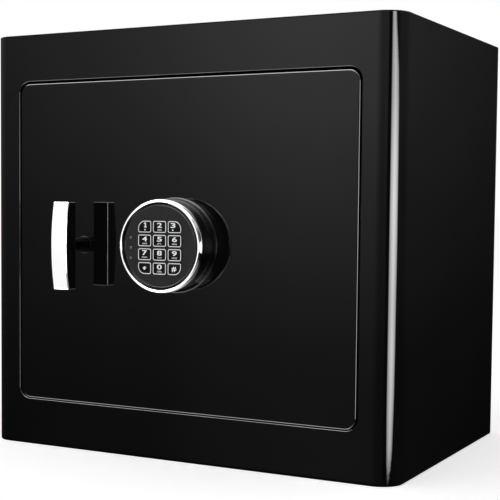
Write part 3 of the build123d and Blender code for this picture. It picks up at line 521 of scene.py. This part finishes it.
# keys
KEY_W, KEY_H, PX, PZ = 14.3, 11.1, 15.75, 12.63
CX, CZ = DIAL.x + 0.3, 201.6
KEY_FRONT, KEY_REAR = -180.3, -175.8
KEYS = [
    (-1, 0, "key_1", "1"), (0, 0, "key_2", "2"), (1, 0, "key_3", "3"),
    (-1, 1, "key_4", "4"), (0, 1, "key_5", "5"), (1, 1, "key_6", "6"),
    (-1, 2, "key_7", "7"), (0, 2, "key_8", "8"), (1, 2, "key_9", "9"),
    (-1, 3, "key_star", "*"), (0, 3, "key_0", "0"), (1, 3, "key_hash", "#"),
]


def key_radii(col, row, small, big):
    r = {(1, 1): small, (-1, 1): small, (-1, -1): small, (1, -1): small}
    if col != 0 and row in (0, 3):
        r[(col, 1 if row == 0 else -1)] = big
    return [r[(1, 1)], r[(-1, 1)], r[(-1, -1)], r[(1, -1)]]


def glyph(text, name, x, z, height, y_front, bold, mat, body, width=None, spacing=1.0):
    """A raised figure, centred on x, z, standing on the plane y_front (mm)."""
    cu = bpy.data.curves.new(name, "FONT")
    cu.body = text
    cu.align_x = "CENTER"
    cu.size = 1.0
    cu.offset = bold
    cu.extrude = 0.02
    cu.resolution_u = 8
    cu.space_character = spacing
    tmp = bpy.data.objects.new(name + "_tmp", cu)
    COL.objects.link(tmp)
    bpy.context.view_layer.update()
    dg = bpy.context.evaluated_depsgraph_get()
    me = bpy.data.meshes.new_from_object(tmp.evaluated_get(dg), depsgraph=dg)
    bpy.data.objects.remove(tmp)
    xs = [v.co.x for v in me.vertices]
    ys = [v.co.y for v in me.vertices]
    s = height / (max(ys) - min(ys))
    sx = width / (max(xs) - min(xs)) if width else s
    mx, my = (max(xs) + min(xs)) / 2, (max(ys) + min(ys)) / 2
    for v in me.vertices:
        lx, ly, lz = (v.co.x - mx) * sx, (v.co.y - my) * s, v.co.z
        v.co = Vector(((x + lx) * MM, (y_front - (0.06 if lz > 0 else -0.04)) * MM, (z + ly) * MM))
    me.materials.clear()
    me.materials.append(mat)
    bm = bmesh.new()
    bm.from_mesh(me)
    bmesh.ops.remove_doubles(bm, verts=bm.verts, dist=1e-7)
    bmesh.ops.recalc_face_normals(bm, faces=bm.faces)
    bm.to_mesh(me)
    bm.free()
    ob = bpy.data.objects.new(name, me)
    COL.objects.link(ob)
    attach(ob, body)
    return ob


LETTERS = {"2": "ABC", "4": "GHI", "5": "JKL", "6": "MNO", "7": "PQRS", "8": "TUV", "9": "WXYZ", "0": "OPR"}
for col, row, node, label in KEYS:
    x, z = CX + col * PX, CZ + (1.5 - row) * PZ
    bm = bmesh.new()
    front_prism(bm, rounded_outline(x, z, KEY_W, KEY_H, key_radii(col, row, 2.0, 7.2), 10), KEY_REAR, KEY_FRONT, 0.22, 4)
    cap = new_object(node + "_cap", bm, MATS["key_plastic"], 32.0)
    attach(cap, node)
    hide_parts(node)
    # printed outline that stands just proud of the cap
    bm = bmesh.new()
    o = rounded_outline(x, z, KEY_W - 0.55, KEY_H - 0.55, key_radii(col, row, 1.75, 6.95), 10)
    i = rounded_outline(x, z, KEY_W - 1.95, KEY_H - 1.95, key_radii(col, row, 1.1, 6.2), 10)
    band(bm, o, i, KEY_FRONT + 0.05, KEY_FRONT - 0.05)
    line = new_object(node + "_outline", bm, OUTLINE, 30.0)
    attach(line, node)
    # figure
    if label == "*":
        glyph(label, node + "_figure", x, z, 3.4, KEY_FRONT, 0.03, MATS["legend_white"], node, 3.6)
    elif label == "#":
        glyph(label, node + "_figure", x - 0.4, z - 0.2, 4.6, KEY_FRONT, 0.025, MATS["legend_white"], node, 4.8)
    else:
        fx = x + {"1": 0.6, "3": -1.6}.get(label, 0.0)
        if label == "1":
            bm = bmesh.new()
            one = [(1.5, -2.25), (1.5, -1.45), (0.75, -1.45), (0.75, 2.25), (-0.35, 2.25), (-1.5, 1.75), (-1.5, 0.95), (-0.45, 1.2), (-0.45, -1.45), (-1.35, -1.45), (-1.35, -2.25)]
            front_prism(bm, [(fx + px_, z + 1.45 + pz_) for px_, pz_ in one], KEY_FRONT + 0.04, KEY_FRONT - 0.06)
            fig = new_object(node + "_figure", bm, MATS["legend_white"], 30.0)
            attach(fig, node)
        else:
            glyph(label, node + "_figure", fx, z + 1.45, 4.5, KEY_FRONT, 0.022, MATS["legend_white"], node, 5.1)
        if label in LETTERS:
            wide = 5.6 if len(LETTERS[label]) == 4 else 4.9
            glyph(LETTERS[label], node + "_letters", x, z - 2.75, 1.45, KEY_FRONT, 0.01, OUTLINE, node, wide)
        else:
            bm = bmesh.new()
            front_prism(bm, rounded_outline(fx - 0.2, z - 2.75, 1.5, 1.3, [0.4] * 4, 4), KEY_FRONT + 0.04, KEY_FRONT - 0.06)
            mark = new_object(node + "_mark", bm, OUTLINE, 30.0)
            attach(mark, node)

# ------------------------------------------------------------------ stage
bm = bmesh.new()
bmesh.ops.create_grid(bm, x_segments=8, y_segments=8, size=15.0)
floor = new_object("floor", bm, bpy.data.materials.new("pale_floor"))
fm = floor.data.materials[0]
fm.use_nodes = True
ft = fm.node_tree
ft.nodes.clear()
out = ft.nodes.new("ShaderNodeOutputMaterial")
dif = ft.nodes.new("ShaderNodeBsdfDiffuse")
dif.inputs["Color"].default_value = (0.86, 0.86, 0.86, 1)
emi = ft.nodes.new("ShaderNodeEmission")
emi.inputs["Strength"].default_value = 0.34
add = ft.nodes.new("ShaderNodeAddShader")
ft.links.new(dif.outputs[0], add.inputs[0])
ft.links.new(emi.outputs[0], add.inputs[1])
ft.links.new(add.outputs[0], out.inputs["Surface"])
floor.visible_glossy = False

# ------------------------------------------------------------------ light
world = bpy.data.worlds.new("studio")
scene.world = world
world.use_nodes = True
w = world.node_tree
w.nodes.clear()


def wn(kind):
    return w.nodes.new(kind)


def wmath(op, a, b=None):
    n = wn("ShaderNodeMath")
    n.operation = op
    for i, v in enumerate((a, b)):
        if v is None:
            continue
        if isinstance(v, (int, float)):
            n.inputs[i].default_value = v
        else:
            w.links.new(v, n.inputs[i])
    return n.outputs[0]


def wcurve(value, lo, hi, stops):
    """Piecewise-linear brightness over value, stops given in value's own units."""
    t = wmath("DIVIDE", wmath("SUBTRACT", value, lo), hi - lo)
    r = wn("ShaderNodeValToRGB")
    e = r.color_ramp.elements
    top = max(v for p, v in stops)
    e[0].position = (stops[0][0] - lo) / (hi - lo)
    e[1].position = (stops[-1][0] - lo) / (hi - lo)
    for i, (p, v) in enumerate(stops):
        el = e[0] if i == 0 else e.new((p - lo) / (hi - lo)) if i < len(stops) - 1 else e[len(e) - 1]
        el.color = (v / top, v / top, v / top, 1)
    w.links.new(t, r.inputs["Fac"])
    sep = wn("ShaderNodeSeparateColor")
    w.links.new(r.outputs["Color"], sep.inputs[0])
    return wmath("MULTIPLY", sep.outputs[0], top)


co = wn("ShaderNodeTexCoord")
sep = wn("ShaderNodeSeparateXYZ")
w.links.new(co.outputs["Generated"], sep.inputs[0])
X, Y, Z = sep.outputs
azim = wmath("MULTIPLY", wmath("ARCTAN2", X, wmath("MULTIPLY", Y, -1.0)), 180 / math.pi)
elev = wmath("MULTIPLY", wmath("ARCSINE", Z), 180 / math.pi)
# radiance round the horizon, left and front part, then right and rear part
by_az = wmath("ADD",
    wcurve(azim, -180, 60, [
        (-180, 0.05), (-130, 0.12), (-80, 0.2), (-55, 0.2), (-38, 0.235), (-35.7, 0.32), (-33, 0.41), (-31, 0.49), (-29.2, 0.59),
        (-27.4, 0.68), (-25.5, 0.75), (-23.5, 0.79), (-21.4, 0.74), (-18, 0.62), (-12, 0.52), (-8, 0.46), (-3, 0.38),
        (2, 0.31), (8, 0.3), (28, 0.32), (32, 0.12), (34, 0.01), (44, 0.01), (60, 0.0)]),
    wcurve(azim, 60, 180, [
        (60, 0.0), (85, 0.12), (92, 0.2), (100, 0.18), (110, 0.16), (120, 0.14), (132, 0.12), (145, 0.105), (155, 0.085),
        (160.5, 0.078), (162.5, 0.055), (164.3, 0.035), (180, 0.03)]))
by_el = wcurve(elev, -90, 90, [
    (-90, 0.3), (-40, 0.3), (-30, 0.15), (-14, 0.15), (-10, 0.14), (-7, 0.19), (-4.8, 0.29), (-2.4, 0.43), (-0.1, 0.55), (2.1, 0.71),
    (4.4, 0.88), (6.7, 1.0), (12, 1.2), (25, 1.5), (60, 1.2), (90, 1.0)])
# tall soft box to the right: sharp near edge, softer far edge, tapering ends
strip_far = wcurve(elev, -15, 15, [(-15, 54), (-13, 60), (-12.4, 71), (-11.6, 77), (-9, 83), (-7, 84.5), (-2, 87), (2, 86), (4.5, 84.5), (6, 81), (7.2, 74), (8.3, 67), (10, 62), (15, 58)])
strip_near = wcurve(elev, -15, 15, [(-15, 54), (-13, 53.5), (-12.2, 48.5), (-10, 46), (15, 46)])
across = wmath("DIVIDE", wmath("SUBTRACT", azim, strip_near), wmath("SUBTRACT", strip_far, strip_near))
strip_x = wcurve(across, -0.25, 1.25, [(-0.02, 0.0), (0.06, 0.3), (0.13, 0.58), (0.3, 0.78), (0.47, 1.0), (0.6, 0.96), (0.78, 0.74), (0.88, 0.58), (0.97, 0.3), (1.04, 0.0)])
strip_z = wcurve(elev, -15, 15, [(-13.4, 0.0), (-12.9, 1.5), (-12.3, 6.5), (-11.5, 10.3), (-9, 12.8), (-7, 14.2), (-5, 13.6), (-2, 15.8), (0, 17.2), (2, 16.2), (5, 12.4), (6.5, 11.2), (8.3, 9.6), (11, 8.0), (15, 6.0)])
strip = wmath("MULTIPLY", strip_x, strip_z)
# overhead soft box and the pale floor far in front, both only for reflections
over = wcurve(elev, -90, 90, [(-90, 8.5), (-50, 8.5), (-36, 6.5), (-24, 0.0), (26, 0.0), (38, 15.0), (70, 18.0), (90, 18.0)])
over_az = wcurve(azim, -180, 180, [(-180, 0.1), (-110, 0.15), (-78, 1.0), (-2, 1.0), (20, 0.12), (180, 0.1)])
total = wmath("ADD", wmath("ADD", wmath("MULTIPLY", by_az, by_el), strip), wmath("MULTIPLY", over, over_az))
glossy_bg = wn("ShaderNodeBackground")
glossy_bg.inputs["Color"].default_value = (1, 1, 1, 1)
w.links.new(total, glossy_bg.inputs["Strength"])
white_bg = wn("ShaderNodeBackground")
white_bg.inputs["Color"].default_value = (1, 1, 1, 1)
white_bg.inputs["Strength"].default_value = 1.0
dome_bg = wn("ShaderNodeBackground")
dome_bg.inputs["Color"].default_value = (1, 1, 1, 1)
dome_bg.inputs["Strength"].default_value = 0.72
path = wn("ShaderNodeLightPath")
mix1 = wn("ShaderNodeMixShader")
w.links.new(path.outputs["Is Glossy Ray"], mix1.inputs[0])
w.links.new(dome_bg.outputs[0], mix1.inputs[1])
w.links.new(glossy_bg.outputs[0], mix1.inputs[2])
mix2 = wn("ShaderNodeMixShader")
w.links.new(path.outputs["Is Camera Ray"], mix2.inputs[0])
w.links.new(mix1.outputs[0], mix2.inputs[1])
w.links.new(white_bg.outputs[0], mix2.inputs[2])
wo = wn("ShaderNodeOutputWorld")
w.links.new(mix2.outputs[0], wo.inputs["Surface"])


def softbox(name, pos, target, sx, sy, radiance, diffuse=True, only=None):
    li = bpy.data.lights.new(name, "AREA")
    li.shape = "RECTANGLE"
    li.size, li.size_y = sx, sy
    li.energy = radiance * sx * sy * math.pi  # watts for this radiance, one side
    ob = bpy.data.objects.new(name, li)
    COL.objects.link(ob)
    ob.location = pos
    d = Vector(target) - Vector(pos)
    ob.rotation_euler = d.to_track_quat("-Z", "Y").to_euler()
    ob.visible_camera = False
    if not diffuse:
        ob.visible_diffuse = False
    if only is not None:
        ob.light_linking.receiver_collection = only
    return ob


# overhead soft box
softbox("top_box", (0.1, -0.5, 2.2), (0, 0, 0.2), 2.2, 1.8, 0.9)
# black cards, seen only in reflections, that keep the soft boxes off the top and bottom folds: painted shade, dark
# bands painted into the reflections along those folds
for cname, z, reach in (("flag_top", 0.4085, 0.014), ("flag_bottom", -0.0006, 0.012)):
    bm = bmesh.new()
    vs = [bm.verts.new((x, y, z)) for x, y in ((-0.217, -0.150 - reach), (0.217, -0.150 - reach), (0.217, 0.151), (-0.217, 0.151))]
    bm.faces.new(vs)
    card = new_object(cname, bm, CARD)
    card.visible_camera = False
    card.visible_diffuse = False
    card.visible_shadow = False
    card.visible_transmission = False
# card seen only by the bright metal
metal_group = bpy.data.collections.new("bright_metal")
for o in (bar, ring):
    metal_group.objects.link(o)
softbox("metal_card", (-0.1 - 1.6 * math.sin(math.radians(34)), -0.2 - 1.6 * math.cos(math.radians(34)), 0.28), (-0.1, -0.2, 0.203), 1.5, 2.2, 1.0, diffuse=False, only=metal_group)

# ------------------------------------------------------------------ camera
f_px, az, el, roll, ppx, ppy = 1223.63, 0.5017, 0.0586, 0.0074, 210.0, 270.0
back = Vector((math.sin(az) * math.cos(el), -math.cos(az) * math.cos(el), math.sin(el)))
right = Vector((math.cos(az), math.sin(az), 0.0))
up = back.cross(right)
r2 = right * math.cos(roll) + up * math.sin(roll)
u2 = up * math.cos(roll) - right * math.sin(roll)
cd = bpy.data.cameras.new("camera")
cam = bpy.data.objects.new("camera", cd)
COL.objects.link(cam)
cam.matrix_world = Matrix((
    (r2.x, u2.x, back.x, 1.4101 * 0.406),
    (r2.y, u2.y, back.y, -2.4126 * 0.406 - 0.150),
    (r2.z, u2.z, back.z, 0.6078 * 0.406),
    (0, 0, 0, 1),
))
cd.sensor_width = 36.0
cd.lens = f_px * 36.0 / 500.0
cd.shift_x = (250 - ppx) / 500
cd.shift_y = (ppy - 250) / 500
cd.clip_start = 0.01
scene.camera = cam
scene.view_settings.view_transform = "Standard"
scene.view_settings.look = "None"

bpy.context.view_layer.update()
